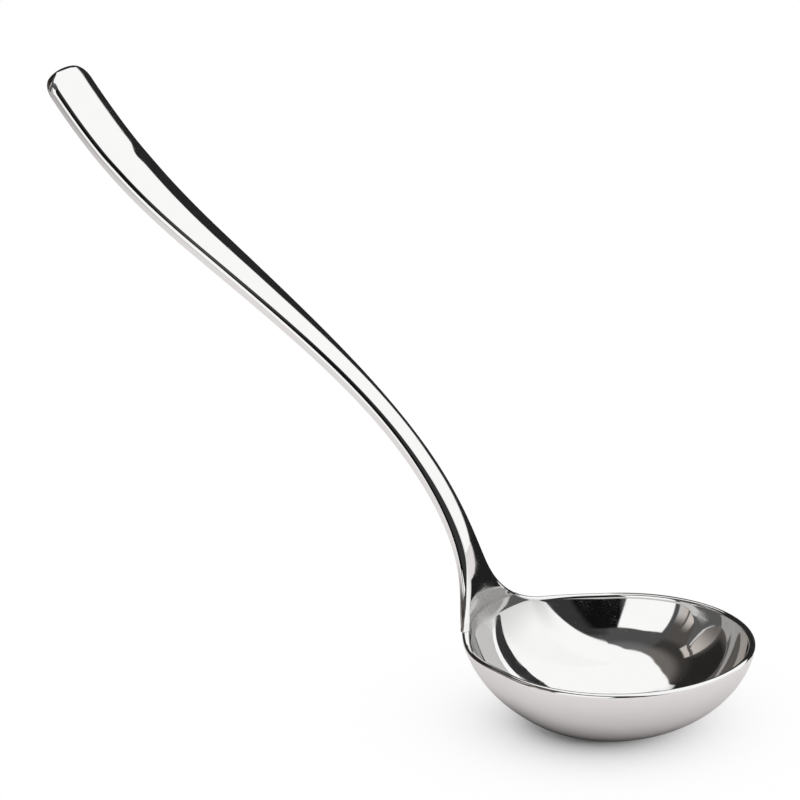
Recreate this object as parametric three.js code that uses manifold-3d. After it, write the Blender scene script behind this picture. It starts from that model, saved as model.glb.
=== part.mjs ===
// Polished steel sauce ladle: a pressed bowl, an S-shaped handle, and the weld that joins them.
// Millimetres. +Z up out of the bowl's mouth, +X away from the handle, origin on the bowl's flat base.
import * as THREE from 'three';
import { mergeVertices } from 'three/addons/utils/BufferGeometryUtils.js';
import Module from 'manifold-3d';

// Bowl
const RIM_HEIGHT = 19.4;          // flat base to the plane of the rim
const EQUATOR_RADIUS = 30.3;      // outside radius where the wall would stand upright
const EQUATOR_RISE = 4.0;         // height of that circle above the rim
const FULLNESS = 2.2;             // 2 is a plain ellipse, more is a fuller belly
const WALL = 1.5;                 // sheet thickness
const BASE_FLAT_RADIUS = 6.0;     // small flat the bowl stands on
const BASE_SET_BACK = 1.9;        // the base sits this far from the rim's centre, towards the handle
const SET_BACK_CURVE = 1.5;       // more than 1 keeps the wall straighter near the rim
const RIM_ROUND = 0.75;           // height of the rim's rounded edge
const HEEL_REACH = 3.55;          // how far the wall is pulled out towards the handle
const HEEL_FULL_ANGLE = 22;       // degrees each side of the handle with the full pull
const HEEL_END_ANGLE = 62;        // degrees each side of the handle where the pull has faded
const HEEL_HALF_WIDTH = 17;       // half width of the thicker patch behind the neck

// Joint between bowl and handle
const JOINT_RISE = 3.0;           // middle of the weld above the rim
const WELD_HEIGHT = 1.2;
const CLEARANCE = 0.3;            // gap left between neighbouring pieces
const ROOT_THICKNESS = 2.4;       // at the weld, on the centre line
const NECK_WIDTH = 7.1;
const ROOT_FLARE = 8.55;          // extra half width at the weld
const FLARE_FADE = 6.6;           // height in which that extra falls to about a third
const FILLET_SOFTNESS = 0.6;      // how gently the neck's edge runs out into the rim

// Handle
const HANDLE_LENGTH = 156.2;      // along its curve, from the weld to the tip
const HANDLE_THICKNESS = 3.2;     // at the sides
const GRIP_WIDTH = 15.2;
const WIDEN_START = 42;           // along the curve
const WIDEN_END = 145;
const ROOT_BLEND = 12;            // length over which the bowl's curve fades out of the front face
const THICKEN_LENGTH = 18;
const TIP_ROUND_LENGTH = 5;
const TIP_SQUARENESS = 2.3;       // 2 is a plain ellipse, more is a blunter tip
const TIP_EDGE_ROUND = 0.8;
const CROWN_RADIUS = 30;          // curve of the front face from side to side
const TIP_CROWN_RADIUS = 62;      // the same near the tip, where the face is flatter
const TIP_CROWN_START = 128;
const CROWN_EASE = 6;
const EDGE_DROP = 0.15;           // sides of the front face below the spine
const BEVEL_ANGLE = 40;           // degrees between the bevel of the front edge and the side
const BEVEL_LENGTH = 1.1;
const NECK_BEVEL = 1.3;           // extra bevel at the weld
const BEVEL_FADE = 16;
const BEVEL_POWER = 1.1;          // 1 is a flat bevel, 2 a round one
const TIP_BEVEL_SHARE = 0.4;      // of the bevel is left at the tip
const EDGE_BLEND = 7;             // length over which the edge stays round like the bowl's rim
const BACK_ROUND = 0.55;
const SIDE_BULGE = 0.16;
const BULGE_POWER = 3;
const ROOT_LEAN = 90;             // degrees above level, at the weld
const MIDDLE_LEAN = 36.3;
const TIP_LEAN = 55.2;
const BEND_LENGTH = 113.4;        // the lower bend runs out over this length
const BEND_POWER = 3;
const UPTURN_START = 100.5;
const UPTURN_END = 161.2;

// Fineness of the facets
const BOWL_COLUMNS = 112;
const COLUMN_CROWDING = 1.25;     // more than 1 crowds columns towards the handle
const WALL_RINGS = 9;
const RING_CROWDING = 1.7;        // more than 1 crowds rings towards the base
const RIM_STEPS = 4;
const SHAFT_STATIONS = 37;
const STATION_CROWDING = 1.6;
const TIP_STATIONS = 9;
const TIP_LAST_TURN = 87;         // degrees round the tip to the last outline, which is small
const CORNER_STEPS = 3;
const SIDE_STEPS = 2;             // even, so that each side has a middle
const FACE_STEPS = 4;
const LARGEST_ROUND_SHARE = 0.48; // of a thickness or half width, so that two rounds never meet
const LARGEST_BEVEL_SHARE = 0.68; // the same for the handle's front edge
const LARGEST_BACK_SHARE = 0.28;  // and for its back edge
const LARGEST_BULGE_SHARE = 0.1;
const SPINE_STEP = 0.25;          // stride in which the handle's curve is walked
const SLOPE_NUDGE = 0.01;         // radians each side, to find how steeply the bowl's edge runs

const BELLY_DROP = (RIM_HEIGHT + EQUATOR_RISE)
  / (1 - (BASE_FLAT_RADIUS / EQUATOR_RADIUS) ** FULLNESS) ** (1 / FULLNESS);

const rad = THREE.MathUtils.degToRad;
const clamp01 = (value) => THREE.MathUtils.clamp(value, 0, 1);
const smooth = (value) => THREE.MathUtils.smoothstep(value, 0, 1);
const half = (value) => value / 2;
const { lerp } = THREE.MathUtils;

// Bowl wall

// Radius of the belly at a height measured from the rim, for the outside or a surface inset from it.
function bellyRadius(height, inset) {
  const part = clamp01((EQUATOR_RISE - height) / (BELLY_DROP - inset));
  return (EQUATOR_RADIUS - inset) * (1 - part ** FULLNESS) ** (1 / FULLNESS);
}

// One at the rim, nothing at the base.
function riseShare(height) {
  return clamp01(1 + height / RIM_HEIGHT);
}

function heelPull(angle, height) {
  const step = clamp01((Math.abs(angle) - rad(HEEL_FULL_ANGLE)) / rad(HEEL_END_ANGLE - HEEL_FULL_ANGLE));
  return HEEL_REACH * half(1 + Math.cos(Math.PI * step)) * riseShare(height);
}

// One on the centre line of the neck, nothing beyond the thicker patch.
function neckPatch(side) {
  return (1 - Math.min(1, (side / HEEL_HALF_WIDTH) ** 2)) ** 2;
}

function wallRadius(angle, height, inset) {
  const radius = bellyRadius(height, inset) + heelPull(angle, height);
  if (inset > 0 || Math.cos(angle) < 0) {
    return radius;
  }
  const patch = neckPatch(radius * Math.sin(angle));
  return radius + (ROOT_THICKNESS - WALL) * patch * riseShare(height) ** 2;
}

// The angle is measured from the handle's side.
function wallPoint(angle, height, radius) {
  const drop = clamp01(-height / RIM_HEIGHT);
  const centre = BASE_SET_BACK * (1 - drop ** SET_BACK_CURVE);
  return [
    centre - radius * Math.cos(angle),
    -radius * Math.sin(angle),
    RIM_HEIGHT + height,
  ];
}

// Height of the rim's edge: level, except where it sweeps up into the neck.
function edgeHeight(angle) {
  const top = JOINT_RISE + WELD_HEIGHT;
  const middle = EQUATOR_RADIUS - half(WALL) + heelPull(angle, 0);
  const beyond = Math.abs(middle * Math.sin(angle)) - half(NECK_WIDTH);
  if (Math.cos(angle) < 0) {
    return 0;
  }
  if (beyond <= 0) {
    return top;
  }
  const sweep = JOINT_RISE + FLARE_FADE * Math.log(ROOT_FLARE / beyond);
  const eased = FILLET_SOFTNESS * Math.log1p(Math.exp(sweep / FILLET_SOFTNESS));
  return Math.min(top, eased);
}

// One column of points from the edge of the base, up the outside, over the rim and down the inside.
// The rim's round is taller where the edge runs steeply, so that it stays the same across the edge.
function bowlColumn(angle) {
  const slope = (edgeHeight(angle + SLOPE_NUDGE) - edgeHeight(angle - SLOPE_NUDGE))
    / (2 * SLOPE_NUDGE * EQUATOR_RADIUS);
  const rise = RIM_ROUND * Math.hypot(1, slope);
  const shoulder = edgeHeight(angle) - rise;
  const floor = EQUATOR_RISE - BELLY_DROP + WALL;
  const column = [];
  for (let ring = 0; ring <= WALL_RINGS; ring += 1) {
    const share = (ring / WALL_RINGS) ** RING_CROWDING;
    const height = lerp(-RIM_HEIGHT, shoulder, share);
    column.push(wallPoint(angle, height, wallRadius(angle, height, 0)));
  }
  const outside = wallRadius(angle, shoulder, 0);
  const inside = wallRadius(angle, shoulder, WALL);
  for (let step = 1; step < RIM_STEPS; step += 1) {
    const turn = (Math.PI * step) / RIM_STEPS;
    const radius = half(outside + inside) + half(outside - inside) * Math.cos(turn);
    column.push(wallPoint(angle, shoulder + rise * Math.sin(turn), radius));
  }
  for (let ring = WALL_RINGS; ring > 0; ring -= 1) {
    const share = (ring / WALL_RINGS) ** RING_CROWDING;
    const height = lerp(floor, shoulder, share);
    column.push(wallPoint(angle, height, wallRadius(angle, height, WALL)));
  }
  return column;
}

// Closed surface from columns that run round an axis, with a point at each end.
function turnedSurface(columns, firstPoint, lastPoint) {
  const rows = columns[0].length;
  const points = columns.flat();
  const first = points.length;
  const last = first + 1;
  points.push(firstPoint, lastPoint);
  const faces = [];
  columns.forEach((column, index) => {
    const here = index * rows;
    const next = ((index + 1) % columns.length) * rows;
    faces.push(first, next, here);
    faces.push(last, here + rows - 1, next + rows - 1);
    for (let row = 0; row < rows - 1; row += 1) {
      faces.push(here + row, next + row, here + row + 1);
      faces.push(next + row, next + row + 1, here + row + 1);
    }
  });
  return geometryOf(points, faces);
}

function geometryOf(points, faces) {
  const geometry = new THREE.BufferGeometry();
  geometry.setAttribute('position', new THREE.Float32BufferAttribute(points.flat(), 3));
  geometry.setIndex(faces);
  return geometry;
}

function bowlWithTallTab() {
  const columns = [];
  for (let index = 0; index < BOWL_COLUMNS; index += 1) {
    const place = (2 * index) / BOWL_COLUMNS - 1;
    const angle = Math.PI * Math.sign(place) * Math.abs(place) ** COLUMN_CROWDING;
    columns.push(bowlColumn(angle));
  }
  const floor = EQUATOR_RISE - BELLY_DROP + WALL;
  return turnedSurface(columns, [0, 0, 0], wallPoint(0, floor, 0));
}

// Handle

// Radius of the neck's front face at the weld, measured from the rim's centre.
const NECK_RADIUS = bellyRadius(JOINT_RISE, WALL) + HEEL_REACH;

function leanAt(along) {
  const bend = along < 0 ? 1 : clamp01(1 - along / BEND_LENGTH) ** BEND_POWER;
  const upturn = smooth((along - UPTURN_START) / (UPTURN_END - UPTURN_START));
  return rad(MIDDLE_LEAN + (ROOT_LEAN - MIDDLE_LEAN) * bend + (TIP_LEAN - MIDDLE_LEAN) * upturn);
}

// Point on the middle of the front face, found by walking along the lean in small steps.
function spinePoint(along) {
  const steps = Math.max(1, Math.ceil(Math.abs(along) / SPINE_STEP));
  const stride = along / steps;
  let x = BASE_SET_BACK - NECK_RADIUS;
  let z = RIM_HEIGHT + JOINT_RISE;
  for (let step = 0; step < steps; step += 1) {
    const lean = leanAt((step + 0.5) * stride);
    x -= Math.cos(lean) * stride;
    z += Math.sin(lean) * stride;
  }
  return { x, z };
}

function halfWidthAt(along) {
  const widen = smooth((along - WIDEN_START) / (WIDEN_END - WIDEN_START));
  const width = half(NECK_WIDTH)
    + ROOT_FLARE * Math.exp(-along / FLARE_FADE)
    + half(GRIP_WIDTH - NECK_WIDTH) * widen;
  const end = clamp01((along - HANDLE_LENGTH + TIP_ROUND_LENGTH) / TIP_ROUND_LENGTH);
  return width * (1 - end ** TIP_SQUARENESS) ** (1 / TIP_SQUARENESS);
}

// The end of the tip is rounded off through its thickness.
function tipThinning(along) {
  const end = clamp01((along - HANDLE_LENGTH + TIP_EDGE_ROUND) / TIP_EDGE_ROUND);
  return 1 - 2 * (TIP_EDGE_ROUND / HANDLE_THICKNESS) * (1 - Math.sqrt(1 - end ** 2));
}

// One at the weld, where the front face is hollow like the bowl, fading to nothing up the handle.
function hollowAt(along) {
  return Math.exp(-Math.max(0, along) / ROOT_BLEND);
}

function thicknessAt(along, side) {
  const fade = Math.exp(-Math.max(0, along) / THICKEN_LENGTH);
  const edge = lerp(HANDLE_THICKNESS, WALL, fade);
  const centre = lerp(HANDLE_THICKNESS, ROOT_THICKNESS, fade);
  const slant = 1 / Math.sqrt(1 - (side / NECK_RADIUS) ** 2) - 1;
  return lerp(edge, centre, neckPatch(side)) * (1 + hollowAt(along) * slant);
}

// Height of the crowned front face above the spine.
function crownRise(along, side, halfWidth) {
  const ease = smooth((along - TIP_CROWN_START) / CROWN_EASE);
  const curve = lerp(1 / CROWN_RADIUS, 1 / TIP_CROWN_RADIUS, ease);
  return half((halfWidth ** 2 - side ** 2) * curve) - EDGE_DROP;
}

// Sizes of the front bevel and the back round. At the weld both turn into the rim's round.
function edgeSizes(along, halfWidth) {
  const rimLike = Math.exp(-((Math.max(0, along) / EDGE_BLEND) ** 2));
  const thinning = tipThinning(along);
  const tip = smooth((along - HANDLE_LENGTH + TIP_ROUND_LENGTH) / TIP_ROUND_LENGTH);
  const fullBevel = BEVEL_LENGTH + NECK_BEVEL * Math.exp(-along / BEVEL_FADE);
  const bevel = fullBevel * lerp(1, TIP_BEVEL_SHARE, tip);
  const spread = Math.hypot(1, (ROOT_FLARE / FLARE_FADE) * Math.exp(-along / FLARE_FADE));
  const widest = LARGEST_ROUND_SHARE * halfWidth;
  const deepest = Math.min(halfWidth, thicknessAt(along, halfWidth));
  const frontShare = lerp(LARGEST_BEVEL_SHARE, LARGEST_ROUND_SHARE, rimLike);
  const backShare = lerp(LARGEST_BACK_SHARE, LARGEST_ROUND_SHARE, rimLike);
  const frontRise = lerp(bevel * Math.cos(rad(BEVEL_ANGLE)), RIM_ROUND, rimLike);
  const frontRun = lerp(bevel * Math.sin(rad(BEVEL_ANGLE)), RIM_ROUND, rimLike);
  const backRound = lerp(BACK_ROUND, RIM_ROUND, rimLike);
  return {
    frontWidth: Math.min(frontRun * spread, widest),
    frontDepth: Math.min(frontRise, frontShare * deepest) * thinning,
    backWidth: Math.min(backRound * spread, widest),
    backDepth: Math.min(backRound, backShare * deepest) * thinning,
    power: 2 / lerp(BEVEL_POWER, 2, rimLike),
    bulge: Math.min(SIDE_BULGE * (1 - rimLike), LARGEST_BULGE_SHARE * halfWidth),
  };
}

// One side of the section, from the front face's edge round to the back face's edge.
function edgeProfile(along, halfWidth, front, back) {
  const edge = edgeSizes(along, halfWidth);
  const wall = halfWidth - edge.bulge;
  const frontEdge = wall - edge.frontWidth;
  const backEdge = wall - edge.backWidth;
  const high = front(frontEdge);
  const low = back(backEdge);
  const profile = [];
  for (let step = 0; step <= CORNER_STEPS; step += 1) {
    const turn = half(Math.PI) * (step / CORNER_STEPS);
    const sink = edge.frontDepth * (1 - clamp01(Math.cos(turn)) ** edge.power);
    profile.push({ side: frontEdge + edge.frontWidth * Math.sin(turn) ** edge.power, off: high - sink });
  }
  for (let step = 1; step < SIDE_STEPS; step += 1) {
    const share = step / SIDE_STEPS;
    const swell = edge.bulge * (1 - Math.abs(2 * share - 1) ** BULGE_POWER);
    const off = lerp(high - edge.frontDepth, low + edge.backDepth, share);
    profile.push({ side: wall + swell, off });
  }
  for (let step = 0; step <= CORNER_STEPS; step += 1) {
    const turn = half(Math.PI) * (1 - step / CORNER_STEPS);
    const lift = edge.backDepth * (1 - Math.cos(turn));
    profile.push({ side: backEdge + edge.backWidth * Math.sin(turn), off: low + lift });
  }
  return profile;
}

// Closed outline square to the spine: up one side, across the front, down the other side, back across.
function sectionAt(along) {
  const spine = spinePoint(along);
  const lean = leanAt(along);
  const halfWidth = halfWidthAt(along);
  const hollow = hollowAt(along);
  const lift = half(1 - tipThinning(along));
  const dish = (side) => (NECK_RADIUS - Math.sqrt(NECK_RADIUS ** 2 - side ** 2)) * hollow;
  const front = (side) => dish(side)
    + (1 - hollow) * crownRise(along, side, halfWidth)
    - lift * thicknessAt(along, side);
  const back = (side) => dish(side)
    - (1 - hollow) * EDGE_DROP
    - (1 - lift) * thicknessAt(along, side);
  const profile = edgeProfile(along, halfWidth, front, back);
  const mirrored = profile.map((spot) => ({ side: -spot.side, off: spot.off })).reverse();
  const frontFace = [];
  const backFace = [];
  for (let step = 1; step < FACE_STEPS; step += 1) {
    const across = (2 * step) / FACE_STEPS - 1;
    const frontSide = across * profile[0].side;
    const backSide = -across * profile[profile.length - 1].side;
    frontFace.push({ side: frontSide, off: front(frontSide) });
    backFace.push({ side: backSide, off: back(backSide) });
  }
  return [...mirrored, ...frontFace, ...profile, ...backFace].map((spot) => [
    spine.x + Math.sin(lean) * spot.off,
    spot.side,
    spine.z + Math.cos(lean) * spot.off,
  ]);
}

// Solid through a run of outlines. Each end is closed by strips from the front half to the back half.
function loftedSolid(stations) {
  const sections = stations.map(sectionAt);
  const loop = sections[0].length;
  const faces = [];
  for (let station = 0; station < stations.length - 1; station += 1) {
    const here = station * loop;
    const next = here + loop;
    for (let spot = 0; spot < loop; spot += 1) {
      const beside = (spot + 1) % loop;
      faces.push(here + spot, here + beside, next + spot);
      faces.push(next + spot, here + beside, next + beside);
    }
  }
  const last = (stations.length - 1) * loop;
  const middle = CORNER_STEPS + half(SIDE_STEPS);
  const backOf = (spot) => (2 * middle - spot + loop) % loop;
  for (let spot = middle; spot < middle + half(loop); spot += 1) {
    const across = backOf(spot);
    const beside = backOf(spot + 1);
    if (across !== spot) {
      faces.push(spot, across, spot + 1);
      faces.push(last + spot, last + spot + 1, last + across);
    }
    if (beside !== spot + 1) {
      faces.push(spot + 1, across, beside);
      faces.push(last + spot + 1, last + beside, last + across);
    }
  }
  return geometryOf(sections.flat(), faces);
}

// Stations crowd towards the flared root and towards the rounded tip.
function handleStations() {
  const start = half(WELD_HEIGHT) + CLEARANCE;
  const tipStart = HANDLE_LENGTH - TIP_ROUND_LENGTH;
  const stations = [];
  for (let step = 0; step < SHAFT_STATIONS; step += 1) {
    const share = (step / SHAFT_STATIONS) ** STATION_CROWDING;
    stations.push(lerp(start, tipStart, share));
  }
  for (let step = 0; step <= TIP_STATIONS; step += 1) {
    const turn = rad(TIP_LAST_TURN) * (step / TIP_STATIONS);
    stations.push(tipStart + TIP_ROUND_LENGTH * Math.sin(turn));
  }
  return stations;
}

function weldStations() {
  return [-half(WELD_HEIGHT), 0, half(WELD_HEIGHT)];
}

// Cutting

const wasm = await Module();
wasm.setup();

function solidOf(geometry) {
  const mesh = new wasm.Mesh({
    numProp: 3,
    vertProperties: new Float32Array(geometry.attributes.position.array),
    triVerts: new Uint32Array(geometry.index.array),
  });
  return new wasm.Manifold(mesh);
}

function geometryOfSolid(solid) {
  const mesh = solid.getMesh();
  const geometry = new THREE.BufferGeometry();
  const positions = new Float32Array(mesh.vertProperties);
  geometry.setAttribute('position', new THREE.BufferAttribute(positions, 3));
  geometry.setIndex(new THREE.BufferAttribute(new Uint32Array(mesh.triVerts), 1));
  return geometry;
}

// The tab is sawn off level, just below the weld.
function cutBowl() {
  const level = RIM_HEIGHT + JOINT_RISE - half(WELD_HEIGHT) - CLEARANCE;
  const size = 4 * EQUATOR_RADIUS;
  const saw = new THREE.BoxGeometry(size, size, size);
  saw.translate(0, 0, level + half(size));
  saw.deleteAttribute('normal');
  saw.deleteAttribute('uv');
  const blank = solidOf(bowlWithTallTab());
  return geometryOfSolid(blank.subtract(solidOf(mergeVertices(saw))));
}

// Assembly

function piece(name, geometry, color, roughness) {
  geometry.computeVertexNormals();
  const material = new THREE.MeshStandardMaterial({ color, roughness, metalness: 1 });
  const mesh = new THREE.Mesh(geometry, material);
  mesh.name = name;
  return mesh;
}

const ladle = new THREE.Group();
ladle.name = 'sauce_ladle';
ladle.add(piece('bowl', cutBowl(), 0xd6d4d2, 0.1));
ladle.add(piece('handle', loftedSolid(handleStations()), 0xdcdad9, 0.08));
ladle.add(piece('neck_weld', loftedSolid(weldStations()), 0xcfcdcb, 0.2));

export default ladle;
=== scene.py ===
"""Sauce ladle in mirror-polished steel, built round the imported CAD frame."""
import math

import bmesh
import bpy
from mathutils import Matrix, Vector


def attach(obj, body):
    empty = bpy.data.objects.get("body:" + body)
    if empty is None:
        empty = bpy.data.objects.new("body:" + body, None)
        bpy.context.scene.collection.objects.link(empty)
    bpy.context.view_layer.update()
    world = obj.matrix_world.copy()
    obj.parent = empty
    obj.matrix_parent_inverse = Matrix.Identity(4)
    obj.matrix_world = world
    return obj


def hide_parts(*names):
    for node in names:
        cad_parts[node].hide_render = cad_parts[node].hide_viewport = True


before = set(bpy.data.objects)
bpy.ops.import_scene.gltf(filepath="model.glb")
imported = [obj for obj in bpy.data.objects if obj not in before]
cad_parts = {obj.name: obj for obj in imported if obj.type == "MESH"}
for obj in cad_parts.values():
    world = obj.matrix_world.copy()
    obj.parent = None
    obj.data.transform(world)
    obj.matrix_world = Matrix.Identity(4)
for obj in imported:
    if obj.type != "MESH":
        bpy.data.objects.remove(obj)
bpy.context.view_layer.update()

MM = 0.001

# Bowl, in millimetres
RIM_HEIGHT = 19.4
EQUATOR_RADIUS = 30.3
EQUATOR_RISE = 4.0
FULLNESS = 2.2
WALL = 1.5
BASE_FLAT_RADIUS = 6.0
BASE_SET_BACK = 1.9
SET_BACK_CURVE = 1.5
RIM_ROUND = 0.75
HEEL_REACH = 3.55
HEEL_FULL_ANGLE = math.radians(22)
HEEL_END_ANGLE = math.radians(62)
HEEL_HALF_WIDTH = 17.0

# Joint
JOINT_RISE = 3.0
WELD_HEIGHT = 1.2
TAB_SPARE = 3.6
ROOT_THICKNESS = 2.4
NECK_WIDTH = 7.1
ROOT_FLARE = 8.55
FLARE_FADE = 6.6
FILLET_SOFTNESS = 0.6

# Handle
HANDLE_LENGTH = 156.2
HANDLE_THICKNESS = 2.7
GRIP_WIDTH = 15.2
WIDEN_START = 42.0
WIDEN_END = 145.0
ROOT_BLEND = 12.0
THICKEN_LENGTH = 18.0
TIP_ROUND_LENGTH = 5.0
TIP_SQUARENESS = 2.3
TIP_EDGE_ROUND = 1.2
CROWN_RADIUS = 30.0
TIP_CROWN_RADIUS = 62.0
TIP_CROWN_START = 128.0
CROWN_EASE = 6.0
EDGE_DROP = 0.15
BEVEL_ANGLE = math.radians(40)
BEVEL_LENGTH = 1.1
NECK_BEVEL = 1.3
BEVEL_FADE = 16.0
BEVEL_POWER = 1.1
TIP_BEVEL_SHARE = 0.7
EDGE_BLEND = 7.0
BACK_ROUND = 0.55
SIDE_BULGE = 0.16
BULGE_POWER = 3
LARGEST_BULGE_SHARE = 0.1
ROOT_LEAN = math.radians(90)
MIDDLE_LEAN = math.radians(36.3)
TIP_LEAN = math.radians(55.2)
BEND_LENGTH = 113.4
BEND_POWER = 3
UPTURN_START = 100.5
UPTURN_END = 161.2

# Fineness
BOWL_COLUMNS = 384
COLUMN_CROWDING = 1.25
WALL_RINGS = 64
RING_CROWDING = 1.5
RIM_STEPS = 12
SHAFT_STATIONS = 300
STATION_CROWDING = 1.4
TIP_STATIONS = 28
TIP_LAST_TURN = math.radians(88.5)
CORNER_STEPS = 10
SIDE_STEPS = 8
FACE_STEPS = 32
WELD_STEPS = 8
LARGEST_ROUND_SHARE = 0.48
LARGEST_BEVEL_SHARE = 0.68
LARGEST_BACK_SHARE = 0.28
CREASE_ANGLE = math.radians(20)
SPINE_STEP = 0.25
SLOPE_NUDGE = 0.01
CUT_TOLERANCE = 1e-7

BELLY_DROP = (RIM_HEIGHT + EQUATOR_RISE) / (
    1 - (BASE_FLAT_RADIUS / EQUATOR_RADIUS) ** FULLNESS
) ** (1 / FULLNESS)


def clamp01(value):
    return max(0.0, min(1.0, value))


def smooth(value):
    value = clamp01(value)
    return value * value * (3 - 2 * value)


def lerp(a, b, share):
    return a + (b - a) * share


# Bowl


def belly_radius(height, inset):
    part = clamp01((EQUATOR_RISE - height) / (BELLY_DROP - inset))
    return (EQUATOR_RADIUS - inset) * (1 - part**FULLNESS) ** (1 / FULLNESS)


def rise_share(height):
    return clamp01(1 + height / RIM_HEIGHT)


def heel_pull(angle, height):
    step = clamp01((abs(angle) - HEEL_FULL_ANGLE) / (HEEL_END_ANGLE - HEEL_FULL_ANGLE))
    return HEEL_REACH * 0.5 * (1 + math.cos(math.pi * step)) * rise_share(height)


def neck_patch(side):
    return (1 - min(1.0, (side / HEEL_HALF_WIDTH) ** 2)) ** 2


def wall_radius(angle, height, inset):
    radius = belly_radius(height, inset) + heel_pull(angle, height)
    if inset > 0 or math.cos(angle) < 0:
        return radius
    patch = neck_patch(radius * math.sin(angle))
    return radius + (ROOT_THICKNESS - WALL) * patch * rise_share(height) ** 2


def wall_point(angle, height, radius):
    drop = clamp01(-height / RIM_HEIGHT)
    centre = BASE_SET_BACK * (1 - drop**SET_BACK_CURVE)
    return (
        centre - radius * math.cos(angle),
        -radius * math.sin(angle),
        RIM_HEIGHT + height,
    )


# The tab is made too tall, and make_bowl cuts it off below the weld
TAB_TOP = JOINT_RISE + TAB_SPARE


def edge_height(angle):
    middle = EQUATOR_RADIUS - WALL / 2 + heel_pull(angle, 0)
    beyond = abs(middle * math.sin(angle)) - NECK_WIDTH / 2
    if math.cos(angle) < 0:
        return 0.0
    if beyond <= 0:
        return TAB_TOP
    sweep = JOINT_RISE + FLARE_FADE * math.log(ROOT_FLARE / beyond)
    if sweep > TAB_TOP:
        return TAB_TOP
    return FILLET_SOFTNESS * math.log1p(math.exp(sweep / FILLET_SOFTNESS))


def bowl_column(angle):
    climb = edge_height(angle + SLOPE_NUDGE) - edge_height(angle - SLOPE_NUDGE)
    slope = climb / (2 * SLOPE_NUDGE * EQUATOR_RADIUS)
    rise = RIM_ROUND * math.hypot(1, slope)
    shoulder = edge_height(angle) - rise
    floor = EQUATOR_RISE - BELLY_DROP + WALL
    column = []
    for ring in range(WALL_RINGS + 1):
        height = lerp(-RIM_HEIGHT, shoulder, (ring / WALL_RINGS) ** RING_CROWDING)
        column.append(wall_point(angle, height, wall_radius(angle, height, 0)))
    outside = wall_radius(angle, shoulder, 0)
    inside = wall_radius(angle, shoulder, WALL)
    for step in range(1, RIM_STEPS):
        turn = math.pi * step / RIM_STEPS
        radius = (outside + inside) / 2 + (outside - inside) / 2 * math.cos(turn)
        column.append(wall_point(angle, shoulder + rise * math.sin(turn), radius))
    for ring in range(WALL_RINGS, 0, -1):
        height = lerp(floor, shoulder, (ring / WALL_RINGS) ** RING_CROWDING)
        column.append(wall_point(angle, height, wall_radius(angle, height, WALL)))
    return column


def make_bowl():
    points = []
    for index in range(BOWL_COLUMNS):
        place = 2 * index / BOWL_COLUMNS - 1
        points += bowl_column(math.pi * math.copysign(abs(place) ** COLUMN_CROWDING, place))
    rows = len(points) // BOWL_COLUMNS
    first = len(points)
    points.append((0, 0, 0))
    points.append(wall_point(0, EQUATOR_RISE - BELLY_DROP + WALL, 0))
    faces = []
    for index in range(BOWL_COLUMNS):
        here = index * rows
        following = (index + 1) % BOWL_COLUMNS * rows
        faces.append((first, following, here))
        faces.append((first + 1, here + rows - 1, following + rows - 1))
        for row in range(rows - 1):
            faces.append((here + row, following + row, following + row + 1, here + row + 1))
    mesh = mesh_of("bowl_polished", points, faces)
    level = (RIM_HEIGHT + JOINT_RISE - WELD_HEIGHT / 2) * MM
    work = bmesh.new()
    work.from_mesh(mesh)
    bmesh.ops.bisect_plane(
        work,
        geom=work.verts[:] + work.edges[:] + work.faces[:],
        dist=CUT_TOLERANCE,
        plane_co=(0, 0, level),
        plane_no=(0, 0, 1),
        clear_outer=True,
    )
    bmesh.ops.holes_fill(work, edges=[edge for edge in work.edges if edge.is_boundary], sides=0)
    work.to_mesh(mesh)
    work.free()
    return mesh


# Handle

NECK_RADIUS = belly_radius(JOINT_RISE, WALL) + HEEL_REACH


def lean_at(along):
    bend = 1.0 if along < 0 else clamp01(1 - along / BEND_LENGTH) ** BEND_POWER
    upturn = smooth((along - UPTURN_START) / (UPTURN_END - UPTURN_START))
    return MIDDLE_LEAN + (ROOT_LEAN - MIDDLE_LEAN) * bend + (TIP_LEAN - MIDDLE_LEAN) * upturn


def spine_point(along):
    steps = max(1, math.ceil(abs(along) / SPINE_STEP))
    stride = along / steps
    x = BASE_SET_BACK - NECK_RADIUS
    z = RIM_HEIGHT + JOINT_RISE
    for step in range(steps):
        lean = lean_at((step + 0.5) * stride)
        x -= math.cos(lean) * stride
        z += math.sin(lean) * stride
    return x, z


def half_width_at(along):
    widen = smooth((along - WIDEN_START) / (WIDEN_END - WIDEN_START))
    flare = ROOT_FLARE * math.exp(-along / FLARE_FADE)
    width = NECK_WIDTH / 2 + flare + (GRIP_WIDTH - NECK_WIDTH) / 2 * widen
    end = clamp01((along - HANDLE_LENGTH + TIP_ROUND_LENGTH) / TIP_ROUND_LENGTH)
    return width * (1 - end**TIP_SQUARENESS) ** (1 / TIP_SQUARENESS)


def tip_thinning(along):
    end = clamp01((along - HANDLE_LENGTH + TIP_EDGE_ROUND) / TIP_EDGE_ROUND)
    return 1 - 2 * (TIP_EDGE_ROUND / HANDLE_THICKNESS) * (1 - math.sqrt(1 - end**2))


def hollow_at(along):
    return math.exp(-max(0.0, along) / ROOT_BLEND)


def thickness_at(along, side):
    fade = math.exp(-max(0.0, along) / THICKEN_LENGTH)
    edge = lerp(HANDLE_THICKNESS, WALL, fade)
    centre = lerp(HANDLE_THICKNESS, ROOT_THICKNESS, fade)
    slant = 1 / math.sqrt(1 - (side / NECK_RADIUS) ** 2) - 1
    return lerp(edge, centre, neck_patch(side)) * (1 + hollow_at(along) * slant)


def crown_rise(along, side, half_width):
    ease = smooth((along - TIP_CROWN_START) / CROWN_EASE)
    curve = lerp(1 / CROWN_RADIUS, 1 / TIP_CROWN_RADIUS, ease)
    return (half_width**2 - side**2) * curve / 2 - EDGE_DROP


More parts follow.
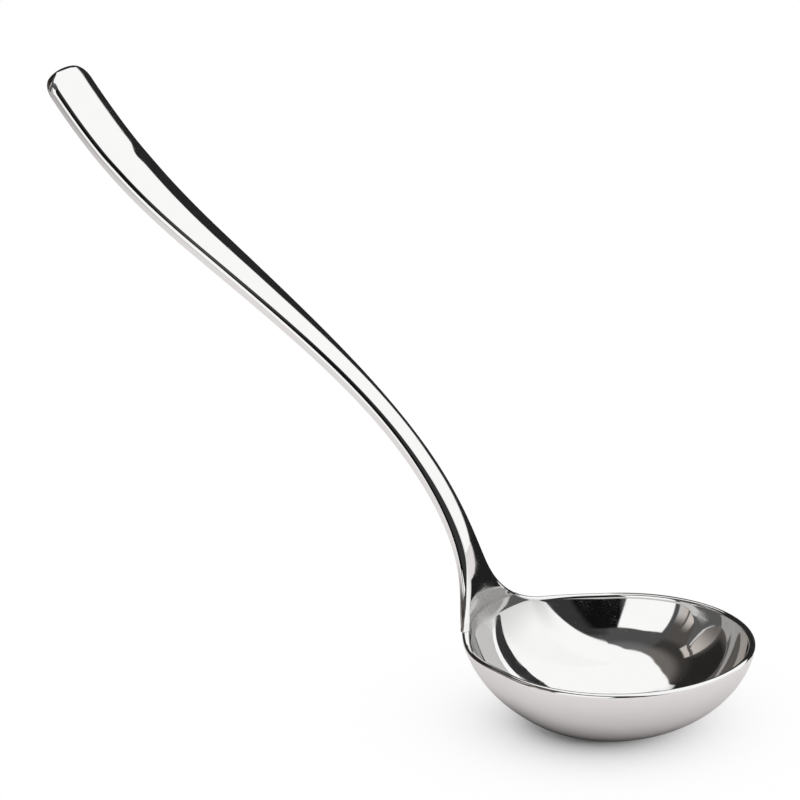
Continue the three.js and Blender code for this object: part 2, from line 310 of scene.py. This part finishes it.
def edge_profile(along, half_width, front, back):
    """One side of the section, from the front face's edge round to the back face's edge."""
    rim_like = math.exp(-((max(0.0, along) / EDGE_BLEND) ** 2))
    thinning = tip_thinning(along)
    tip = smooth((along - HANDLE_LENGTH + TIP_ROUND_LENGTH) / TIP_ROUND_LENGTH)
    bevel = (BEVEL_LENGTH + NECK_BEVEL * math.exp(-along / BEVEL_FADE)) * lerp(1, TIP_BEVEL_SHARE, tip)
    spread = math.hypot(1, ROOT_FLARE / FLARE_FADE * math.exp(-along / FLARE_FADE))
    widest = LARGEST_ROUND_SHARE * half_width
    deepest = min(half_width, thickness_at(along, half_width))
    front_share = lerp(LARGEST_BEVEL_SHARE, LARGEST_ROUND_SHARE, rim_like)
    back_share = lerp(LARGEST_BACK_SHARE, LARGEST_ROUND_SHARE, rim_like)
    back_round = lerp(BACK_ROUND, RIM_ROUND, rim_like)
    front_width = min(lerp(bevel * math.sin(BEVEL_ANGLE), RIM_ROUND, rim_like) * spread, widest)
    bevel_depth = lerp(bevel * math.cos(BEVEL_ANGLE), RIM_ROUND, rim_like)
    front_depth = min(bevel_depth, front_share * deepest) * thinning
    back_width = min(back_round * spread, widest)
    back_depth = min(back_round, back_share * deepest) * thinning
    power = 2 / lerp(BEVEL_POWER, 2, rim_like)
    bulge = min(SIDE_BULGE * (1 - rim_like), LARGEST_BULGE_SHARE * half_width)
    wall = half_width - bulge
    front_edge = wall - front_width
    back_edge = wall - back_width
    high = front(front_edge)
    low = back(back_edge)
    profile = []
    for step in range(CORNER_STEPS + 1):
        turn = math.pi / 2 * step / CORNER_STEPS
        sink = front_depth * (1 - max(0.0, math.cos(turn)) ** power)
        profile.append((front_edge + front_width * math.sin(turn) ** power, high - sink))
    for step in range(1, SIDE_STEPS):
        share = step / SIDE_STEPS
        swell = bulge * (1 - abs(2 * share - 1) ** BULGE_POWER)
        profile.append((wall + swell, lerp(high - front_depth, low + back_depth, share)))
    for step in range(CORNER_STEPS + 1):
        turn = math.pi / 2 * (1 - step / CORNER_STEPS)
        profile.append((back_edge + back_width * math.sin(turn), low + back_depth * (1 - math.cos(turn))))
    return profile


def section_at(along):
    x, z = spine_point(along)
    lean = lean_at(along)
    half_width = half_width_at(along)
    hollow = hollow_at(along)
    lift = (1 - tip_thinning(along)) / 2

    def dish(side):
        return (NECK_RADIUS - math.sqrt(NECK_RADIUS**2 - side**2)) * hollow

    def front(side):
        crown = (1 - hollow) * crown_rise(along, side, half_width)
        return dish(side) + crown - lift * thickness_at(along, side)

    def back(side):
        return dish(side) - (1 - hollow) * EDGE_DROP - (1 - lift) * thickness_at(along, side)

    profile = edge_profile(along, half_width, front, back)
    front_edge = profile[0][0]
    back_edge = profile[-1][0]
    front_face = [lerp(-front_edge, front_edge, step / FACE_STEPS) for step in range(1, FACE_STEPS)]
    back_face = [lerp(back_edge, -back_edge, step / FACE_STEPS) for step in range(1, FACE_STEPS)]
    ring = [(-side, off) for side, off in profile[::-1]]
    ring += [(side, front(side)) for side in front_face]
    ring += profile
    ring += [(side, back(side)) for side in back_face]
    return [(x + math.sin(lean) * off, side, z + math.cos(lean) * off) for side, off in ring]


def make_loft(name, stations):
    sections = [section_at(along) for along in stations]
    count = len(sections[0])
    points = [point for section in sections for point in section]
    faces = []
    for station in range(len(stations) - 1):
        here = station * count
        following = here + count
        for spot in range(count):
            beside = (spot + 1) % count
            faces.append((here + spot, here + beside, following + beside, following + spot))
    # each end is closed by strips from the front half of the ring to the back half
    last = (len(stations) - 1) * count
    middle = CORNER_STEPS + SIDE_STEPS // 2
    for spot in range(middle, middle + count // 2):
        ring = (spot, 2 * middle - spot, 2 * middle - spot - 1, spot + 1)
        strip = list(dict.fromkeys(index % count for index in ring))
        faces.append(strip)
        faces.append([last + index for index in strip[::-1]])
    return mesh_of(name, points, faces)


def handle_stations():
    start = WELD_HEIGHT / 2
    tip_start = HANDLE_LENGTH - TIP_ROUND_LENGTH
    shares = [(step / SHAFT_STATIONS) ** STATION_CROWDING for step in range(SHAFT_STATIONS)]
    stations = [lerp(start, tip_start, share) for share in shares]
    for step in range(TIP_STATIONS + 1):
        turn = TIP_LAST_TURN * step / TIP_STATIONS
        stations.append(tip_start + TIP_ROUND_LENGTH * math.sin(turn))
    return stations


def weld_stations():
    return [lerp(-WELD_HEIGHT / 2, WELD_HEIGHT / 2, step / WELD_STEPS) for step in range(WELD_STEPS + 1)]


# Meshes


def mesh_of(name, points, faces):
    mesh = bpy.data.meshes.new(name)
    mesh.from_pydata([tuple(value * MM for value in point) for point in points], [], faces)
    mesh.validate()
    return mesh


def finish_mesh(mesh):
    for polygon in mesh.polygons:
        polygon.use_smooth = True
    mesh.set_sharp_from_angle(angle=CREASE_ANGLE)
    mesh.update()


def add_piece(mesh, node, material):
    finish_mesh(mesh)
    piece = bpy.data.objects.new(mesh.name, mesh)
    bpy.context.scene.collection.objects.link(piece)
    mesh.materials.append(material)
    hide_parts(node)
    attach(piece, "root")


# Materials

STEEL = (0.955, 0.95, 0.945)
WELD_STEEL = (0.9, 0.895, 0.89)
HAZE_SCALE = 260.0
HAZE_DETAIL = 4.0
HAZE_ZONE = (0.45, 0.8)
HAZE_TONE = 0.965
POLISH_ROUGHNESS = 0.03
WELD_PLACE = ((BASE_SET_BACK - NECK_RADIUS) * MM, 0, (RIM_HEIGHT + JOINT_RISE) * MM)
GROUND_ZONE = (2.5 * MM, 7.5 * MM)
GROUND_ROUGHNESS = 0.5
MOTTLE_SCALE = 1100.0
DUST_SCALE = 2100.0
DUST_DETAIL = 1.0
DUST_ZONE = (0.7, 0.8)
SCRATCH_DETAIL = 2.0
SCRATCH_STRENGTH = 0.02
SCRATCH_DEPTH = 0.05 * MM


class Nodes:
    """Small helper for building a node tree."""

    def __init__(self, tree):
        self.tree = tree
        tree.nodes.clear()

    def add(self, kind, **values):
        node = self.tree.nodes.new(kind)
        for key, value in values.items():
            setattr(node, key, value)
        return node

    def link(self, source, target):
        self.tree.links.new(source, target)

    def math(self, operation, a, b=None, c=None):
        node = self.add("ShaderNodeMath", operation=operation)
        for index, value in enumerate((a, b, c)):
            if value is None:
                continue
            if isinstance(value, (int, float)):
                node.inputs[index].default_value = value
            else:
                self.link(value, node.inputs[index])
        return node.outputs[0]

    def ramp_value(self, value, low, high, to_low=0.0, to_high=1.0):
        node = self.add("ShaderNodeMapRange", interpolation_type="SMOOTHSTEP")
        self.link(value, node.inputs["Value"])
        node.inputs["From Min"].default_value = low
        node.inputs["From Max"].default_value = high
        node.inputs["To Min"].default_value = to_low
        node.inputs["To Max"].default_value = to_high
        return node.outputs[0]


def steel_material(name, colour, smear, scratch_scale, specks):
    material = bpy.data.materials.new(name)
    material.use_nodes = True
    nodes = Nodes(material.node_tree)
    out = nodes.add("ShaderNodeOutputMaterial")
    shader = nodes.add("ShaderNodeBsdfPrincipled")
    nodes.link(shader.outputs[0], out.inputs["Surface"])
    shader.inputs["Metallic"].default_value = 1.0
    place = nodes.add("ShaderNodeTexCoord").outputs["Object"]
    haze = nodes.add("ShaderNodeTexNoise")
    haze.inputs["Scale"].default_value = HAZE_SCALE
    haze.inputs["Detail"].default_value = HAZE_DETAIL
    nodes.link(place, haze.inputs["Vector"])
    tone = nodes.add("ShaderNodeMix", data_type="RGBA")
    tone.inputs["A"].default_value = (*colour, 1)
    tone.inputs["B"].default_value = (*[value * HAZE_TONE for value in colour], 1)
    nodes.link(haze.outputs["Fac"], tone.inputs["Factor"])
    nodes.link(tone.outputs["Result"], shader.inputs["Base Color"])
    rough = nodes.ramp_value(haze.outputs["Fac"], *HAZE_ZONE, POLISH_ROUGHNESS, smear)
    # the weld was ground by hand, which leaves its surroundings mottled
    mottle = nodes.add("ShaderNodeTexNoise")
    mottle.inputs["Scale"].default_value = MOTTLE_SCALE
    nodes.link(place, mottle.inputs["Vector"])
    weld = nodes.add("ShaderNodeVectorMath", operation="DISTANCE")
    nodes.link(place, weld.inputs[0])
    weld.inputs[1].default_value = WELD_PLACE
    ground = nodes.ramp_value(weld.outputs["Value"], *GROUND_ZONE, GROUND_ROUGHNESS, 0.0)
    rough = nodes.math("MULTIPLY_ADD", ground, mottle.outputs["Fac"], rough)
    # fine specks of dust and old water marks
    dust = nodes.add("ShaderNodeTexNoise")
    dust.inputs["Scale"].default_value = DUST_SCALE
    dust.inputs["Detail"].default_value = DUST_DETAIL
    nodes.link(place, dust.inputs["Vector"])
    rough = nodes.math("ADD", rough, nodes.ramp_value(dust.outputs["Fac"], *DUST_ZONE, 0.0, specks))
    nodes.link(rough, shader.inputs["Roughness"])
    scratch = nodes.add("ShaderNodeTexNoise")
    scratch.inputs["Scale"].default_value = scratch_scale
    scratch.inputs["Detail"].default_value = SCRATCH_DETAIL
    nodes.link(place, scratch.inputs["Vector"])
    bump = nodes.add("ShaderNodeBump")
    bump.inputs["Strength"].default_value = SCRATCH_STRENGTH
    bump.inputs["Distance"].default_value = SCRATCH_DEPTH
    nodes.link(scratch.outputs["Fac"], bump.inputs["Height"])
    nodes.link(bump.outputs["Normal"], shader.inputs["Normal"])
    return material


# Studio

# The steel shows a white studio with a dark room behind the camera. Directions are a heading and a height
# in degrees. The room's heading is measured from its middle, the back wall's from the far side, square to
# the ladle's length. A patch of the studio is bounded by straight edges (heading share, height share, limit),
# and its softness is the width of its blurred border. A rise is two heights and the levels of light at them.
SKY_LEVEL = 0.95
ROOM_TURN = math.radians(-150.0)
ROOM = (
    (-1, 0.52, 96.5),
    (-0.25, 1, 78.3),
    (0, 1, 70.2),
    (0.07, 1, 68.9),
    (0.3, 1, 80.8),
    (0.65, 1, 106.8),
    (1, 0, 93),
)
ROOM_SOFTNESS = 2.5
ROOM_RISE = (56, 66, 0.075, 0.145)
ROOM_RIGHT = ((-1, 0, -6),)
ROOM_RIGHT_SOFTNESS = 8.0
RIGHT_SLANT = 0.14
RIGHT_LOWER_RISE = (44, 52, 0.08, 0.04)
RIGHT_UPPER_RISE = (56, 66, 0.0, 0.11)
RIGHT_TINT = (1, 0.92, 0.86, 1)
ROOM_LEFT = ((1, 0, -63), (0, 1, 50))
ROOM_LEFT_SOFTNESS = 7.0
ROOM_LEFT_LEVEL = 0.035
BLACK_SCREEN = ((-1, 0, 66), (1, 0, -49.5), (0, 1, 41))
BLACK_SCREEN_SOFTNESS = 4.0
BLACK_SCREEN_LEVEL = 0.005
DARK_PANEL = ((-1, 0, -56), (1, 0, 96), (0, 1, 43), (0, -1, -12))
DARK_PANEL_SOFTNESS = 9.0
DARK_LEVEL = 0.02
WINDOW = ((-1, -0.17, 45), (1, 0, -1.5), (-0.1, 1, 45.5), (0.14, 1, 40.5))
WINDOW_SOFTNESS = 1.8
# Lamp heads in the room: edges and rise
LAMP_HEADS = (
    (((-1, 0, -3), (1, 0, 12.3), (0, 1, 42)), (10, 28, 0.52, 0.08)),
    (((-1, 0, -14.2), (1, 0, 21.5), (0, 1, 42)), (14, 33, 0.6, 0.08)),
    (((-1, 0, -35), (1, 0, 53), (0, 1, 46)), (8, 42, 0.14, 0.55)),
)
LAMP_HEAD_SOFTNESS = 2.0
BACK_GLOW = ((-1, 0, -94), (1, 0, 120))
BACK_GLOW_RISE = (0, 50, 0.64, 1.0)
BACK_HAZE = ((-1, 0, -47), (1, 0, 100))
BACK_HAZE_RISE = (0, 36, 0.7, 0.97)
BACK_SOFTNESS = 16.0
DARK_CORNER = ((1, 0.612, 32.9), (0.82, 1, 35.0), (0.2, 1, 31), (-1, 0, 60))
DARK_CORNER_SOFTNESS = 1.5
# The studio in the steel's reflections of itself, after a second and after a third reflection
TWICE_STEP = (1.4, 1.6)
TWICE_LEVEL = 0.6
TWICE_DARK = ((-1, 0, 92), (1, 0, 100))
TWICE_DARK_SOFTNESS = 6.0
TWICE_DARK_LEVEL = 0.105
THRICE_STEP = (2.4, 2.6)
THRICE_LEVEL = 0.36


def build_world():
    world = bpy.data.worlds.new("studio")
    bpy.context.scene.world = world
    world.use_nodes = True
    nodes = Nodes(world.node_tree)
    out = nodes.add("ShaderNodeOutputWorld")
    background = nodes.add("ShaderNodeBackground")
    nodes.link(background.outputs[0], out.inputs["Surface"])
    split = nodes.add("ShaderNodeSeparateXYZ")
    nodes.link(nodes.add("ShaderNodeTexCoord").outputs["Generated"], split.inputs[0])
    x, y, z = split.outputs
    to_degrees = 180 / math.pi

    def heading_from(turn):
        sine, cosine = math.sin(turn), math.cos(turn)
        ahead = nodes.math("MULTIPLY_ADD", x, sine, nodes.math("MULTIPLY", y, cosine))
        aside = nodes.math("MULTIPLY_ADD", x, cosine, nodes.math("MULTIPLY", y, -sine))
        return nodes.math("MULTIPLY", nodes.math("ARCTAN2", aside, ahead), to_degrees)

    room_heading = heading_from(ROOM_TURN)
    back_heading = heading_from(0.0)
    height = nodes.math("MULTIPLY", nodes.math("ARCSINE", z), to_degrees)

    def patch(edges, soft, heading=room_heading):
        """One inside all the edges, nothing outside."""
        mask = None
        for heading_share, height_share, limit in edges:
            across = nodes.math("MULTIPLY", heading, heading_share)
            reach = nodes.math("MULTIPLY_ADD", height, height_share, across)
            inside = nodes.ramp_value(reach, limit - soft / 2, limit + soft / 2, 1.0, 0.0)
            mask = inside if mask is None else nodes.math("MULTIPLY", mask, inside)
        return mask

    def paint(below, mask, level):
        mix = nodes.add("ShaderNodeMix", data_type="FLOAT")
        nodes.link(mask, mix.inputs["Factor"])
        for socket, value in (("A", below), ("B", level)):
            if isinstance(value, (int, float)):
                mix.inputs[socket].default_value = value
            else:
                nodes.link(value, mix.inputs[socket])
        return mix.outputs["Result"]

    room = patch(ROOM, ROOM_SOFTNESS)
    right = nodes.math("MULTIPLY", room, patch(ROOM_RIGHT, ROOM_RIGHT_SOFTNESS))
    left = nodes.math("MULTIPLY", room, patch(ROOM_LEFT, ROOM_LEFT_SOFTNESS))
    rightward = nodes.math("MAXIMUM", room_heading, 0.0)
    slanted = nodes.math("MULTIPLY_ADD", rightward, RIGHT_SLANT, height)
    lower = nodes.ramp_value(slanted, *RIGHT_LOWER_RISE)
    upper = nodes.ramp_value(slanted, *RIGHT_UPPER_RISE)
    glow = patch(BACK_GLOW, BACK_SOFTNESS, heading=back_heading)
    haze = patch(BACK_HAZE, BACK_SOFTNESS, heading=back_heading)
    level = paint(1.0, glow, nodes.ramp_value(height, *BACK_GLOW_RISE))
    level = paint(level, haze, nodes.ramp_value(height, *BACK_HAZE_RISE))
    level = paint(level, room, nodes.ramp_value(height, *ROOM_RISE))
    level = paint(level, right, nodes.math("ADD", lower, upper))
    level = paint(level, left, ROOM_LEFT_LEVEL)
    level = paint(level, patch(BLACK_SCREEN, BLACK_SCREEN_SOFTNESS), BLACK_SCREEN_LEVEL)
    level = paint(level, patch(DARK_PANEL, DARK_PANEL_SOFTNESS), DARK_LEVEL)
    level = paint(level, patch(WINDOW, WINDOW_SOFTNESS), 1.0)
    for edges, rise in LAMP_HEADS:
        level = paint(level, patch(edges, LAMP_HEAD_SOFTNESS), nodes.ramp_value(height, *rise))
    corner = patch(DARK_CORNER, DARK_CORNER_SOFTNESS, heading=back_heading)
    level = paint(level, corner, DARK_LEVEL)

    # in the steel's reflections of itself the studio is simpler and dimmer
    path = nodes.add("ShaderNodeLightPath")
    twice = nodes.ramp_value(path.outputs["Glossy Depth"], *TWICE_STEP)
    thrice = nodes.ramp_value(path.outputs["Glossy Depth"], *THRICE_STEP)
    twice_level = paint(TWICE_LEVEL, patch(TWICE_DARK, TWICE_DARK_SOFTNESS), TWICE_DARK_LEVEL)
    level = paint(level, twice, twice_level)
    level = paint(level, thrice, THRICE_LEVEL)
    seen = nodes.math("MAXIMUM", path.outputs["Is Glossy Ray"], path.outputs["Is Transmission Ray"])
    strength = paint(SKY_LEVEL, path.outputs["Is Camera Ray"], 1.0)
    strength = paint(strength, seen, level)
    nodes.link(strength, background.inputs["Strength"])
    # the dark room's right half is slightly warm
    tint = nodes.add("ShaderNodeMix", data_type="RGBA")
    tint.inputs["A"].default_value = (1, 1, 1, 1)
    tint.inputs["B"].default_value = RIGHT_TINT
    nodes.link(nodes.math("MULTIPLY", right, seen), tint.inputs["Factor"])
    nodes.link(tint.outputs["Result"], background.inputs["Color"])


# The floor, and the shadow under the bowl, in metres: its middle, and how fast painted white that only the
# camera sees covers it, fading the floor into the white background. The painted shade on the left of the
# floor in the steel is two places along the ladle and the shares of light at them.
FLOOR_HALF = 3.0
FLOOR_WHITE = (0.985, 0.985, 0.985, 1)
# the floor as the steel sees it: a painted darker grey in place of its own white
PAINTED_FLOOR_SHADE_IN_STEEL = (0.775, 0.748, 0.746, 1)
SHADOW_CENTRE = (-5 * MM, 2 * MM, 0)
SHADOW_CORE = 14 * MM
SHADOW_REACH = 13 * MM
# painted shadow under the bowl and painted shade on the left, in the floor's colour as the steel sees it
PAINTED_SHADOW_IN_STEEL = (7.5 * MM, 32 * MM)
PAINTED_LEFT_SHADE = (-0.42, -0.18, 0.55, 1.0)


def stage_plane(name, corners, material):
    mesh = bpy.data.meshes.new(name)
    mesh.from_pydata(corners, [], [tuple(range(len(corners)))])
    plane = bpy.data.objects.new(name, mesh)
    bpy.context.scene.collection.objects.link(plane)
    mesh.materials.append(material)
    return plane


def floor_material():
    """Pale floor: white to the camera with the ladle's shadow, and a painted grey with a painted shadow in
    the steel.

    Away from the ladle, painted white that only the camera sees lightens the shadow and fades the floor into
    the white background.
    """
    material = bpy.data.materials.new("pale_floor")
    material.cycles.emission_sampling = "NONE"
    material.use_nodes = True
    nodes = Nodes(material.node_tree)
    out = nodes.add("ShaderNodeOutputMaterial")
    diffuse = nodes.add("ShaderNodeBsdfDiffuse")
    path = nodes.add("ShaderNodeLightPath")
    place = nodes.add("ShaderNodeTexCoord").outputs["Object"]
    away = nodes.add("ShaderNodeVectorMath", operation="DISTANCE")
    nodes.link(place, away.inputs[0])
    away.inputs[1].default_value = SHADOW_CENTRE
    beyond = nodes.math("MAXIMUM", nodes.math("SUBTRACT", away.outputs["Value"], SHADOW_CORE), 0.0)
    shadow = nodes.math("EXPONENT", nodes.math("MULTIPLY", beyond, -1 / SHADOW_REACH))
    # painted white: an emission seen only by the camera, mixed in with distance from the shadow centre,
    # lightens the real shadow beyond its core
    white = nodes.add("ShaderNodeEmission")
    surface = nodes.add("ShaderNodeMixShader")
    fade = nodes.math("SUBTRACT", 1.0, shadow)
    nodes.link(nodes.math("MULTIPLY", fade, path.outputs["Is Camera Ray"]), surface.inputs[0])
    nodes.link(diffuse.outputs[0], surface.inputs[1])
    nodes.link(white.outputs[0], surface.inputs[2])
    nodes.link(surface.outputs[0], out.inputs["Surface"])
    # what the steel sees: a painted grey, with painted shadow under the bowl and painted shade towards the
    # left
    split = nodes.add("ShaderNodeSeparateXYZ")
    nodes.link(place, split.inputs[0])
    under = nodes.ramp_value(away.outputs["Value"], *PAINTED_SHADOW_IN_STEEL)
    painted_shade_leftward = nodes.ramp_value(split.outputs["X"], *PAINTED_LEFT_SHADE)
    grey = nodes.add("ShaderNodeMix", data_type="RGBA")
    grey.inputs["A"].default_value = (0, 0, 0, 1)
    grey.inputs["B"].default_value = PAINTED_FLOOR_SHADE_IN_STEEL
    nodes.link(nodes.math("MULTIPLY", under, painted_shade_leftward), grey.inputs["Factor"])
    shade = nodes.add("ShaderNodeMix", data_type="RGBA")
    nodes.link(grey.outputs["Result"], shade.inputs["A"])
    shade.inputs["B"].default_value = FLOOR_WHITE
    nodes.link(path.outputs["Is Camera Ray"], shade.inputs["Factor"])
    nodes.link(shade.outputs["Result"], diffuse.inputs["Color"])
    return material


def flag_material(name, level, only_from_below=False):
    material = bpy.data.materials.new(name)
    material.use_nodes = True
    nodes = Nodes(material.node_tree)
    out = nodes.add("ShaderNodeOutputMaterial")
    cloth = nodes.add("ShaderNodeBsdfDiffuse")
    cloth.inputs["Color"].default_value = (level, level, level, 1)
    surface = cloth
    if only_from_below:
        clear = nodes.add("ShaderNodeBsdfTransparent")
        side = nodes.add("ShaderNodeNewGeometry")
        surface = nodes.add("ShaderNodeMixShader")
        nodes.link(side.outputs["Backfacing"], surface.inputs[0])
        nodes.link(clear.outputs[0], surface.inputs[1])
        nodes.link(cloth.outputs[0], surface.inputs[2])
    nodes.link(surface.outputs[0], out.inputs["Surface"])
    return material


# Dark cloths that only the steel sees, in millimetres: a strip hung behind the bowl, dark from below, which
# the bowl shows as its dark left band, and a sheet on the floor further back, the dark wedge on the neck.
STRIP_HEIGHT = 29.0
STRIP_PLAN = (
    (-13.7, 31.3),
    (-11.8, 29.3),
    (-8.4, 29),
    (-1.6, 32.4),
    (73, 82),
    (272, 241),
    (100, 127),
    (18, 62),
    (-12, 35.4),
)
STRIP_LEVEL = 0.055
SHEET_HEIGHT = 0.2
SHEET_PLAN = ((0, 78), (62, 78), (78, 166), (534, 878), (1887, 2990), (-400, 2990), (-400, 300))
SHEET_LEVEL = 0.015

# The lamp overhead, in metres and watts
LAMP_PLACE = (0.15, 0.1, 0.9)
LAMP_TARGET = (0, 0, 0)
LAMP_SIZE = (0.9, 0.9)
LAMP_POWER = 0.6


def add_flag(name, plan, height, material):
    flag = stage_plane(name, [(x * MM, y * MM, height * MM) for x, y in plan], material)
    flag.visible_camera = False
    flag.visible_diffuse = False
    flag.visible_shadow = False


def add_lamp(name, place, target, size, power):
    lamp = bpy.data.lights.new(name, "AREA")
    lamp.shape = "RECTANGLE"
    lamp.size, lamp.size_y = size
    lamp.energy = power
    holder = bpy.data.objects.new(name, lamp)
    bpy.context.scene.collection.objects.link(holder)
    holder.location = place
    aim = Vector(target) - Vector(place)
    holder.rotation_euler = aim.to_track_quat("-Z", "Y").to_euler()
    holder.visible_glossy = False


# Camera, in metres, with its sensor and lens in millimetres

CAMERA_PLACE = (0.32771, -0.73995, 0.34858)
CAMERA_RIGHT = Vector((0.8952, 0.4445, -0.0307))
CAMERA_UP = Vector((-0.1161, 0.2991, 0.9471))
SENSOR_WIDTH = 36.0
LENS = 180.0


def add_camera():
    camera = bpy.data.cameras.new("photo_view")
    camera.sensor_width = SENSOR_WIDTH
    camera.lens = LENS
    holder = bpy.data.objects.new("photo_view", camera)
    bpy.context.scene.collection.objects.link(holder)
    right = CAMERA_RIGHT.normalized()
    back = right.cross(CAMERA_UP).normalized()
    up = back.cross(right)
    matrix = Matrix((right, up, back)).transposed().to_4x4()
    matrix.translation = CAMERA_PLACE
    holder.matrix_world = matrix
    bpy.context.scene.camera = holder


bpy.context.scene.view_settings.view_transform = "Standard"
add_camera()
add_piece(
    make_bowl(),
    "bowl",
    steel_material("bowl_steel_polished", STEEL, smear=0.10, scratch_scale=900.0, specks=0.14),
)
add_piece(
    make_loft("handle_polished", handle_stations()),
    "handle",
    steel_material("handle_steel_polished", STEEL, smear=0.07, scratch_scale=900.0, specks=0.06),
)
add_piece(
    make_loft("neck_weld_polished", weld_stations()),
    "neck_weld",
    steel_material("weld_steel_polished", WELD_STEEL, smear=0.25, scratch_scale=1500.0, specks=0.2),
)
floor_corners = [(x * FLOOR_HALF, y * FLOOR_HALF, 0) for x, y in ((-1, -1), (1, -1), (1, 1), (-1, 1))]
stage_plane("floor", floor_corners, floor_material())
strip_cloth = flag_material("charcoal_flag", STRIP_LEVEL, only_from_below=True)
add_flag("hanging_flag", STRIP_PLAN, STRIP_HEIGHT, strip_cloth)
add_flag("floor_cloth", SHEET_PLAN, SHEET_HEIGHT, flag_material("black_cloth", SHEET_LEVEL))
build_world()
add_lamp("overhead_box", LAMP_PLACE, LAMP_TARGET, LAMP_SIZE, LAMP_POWER)
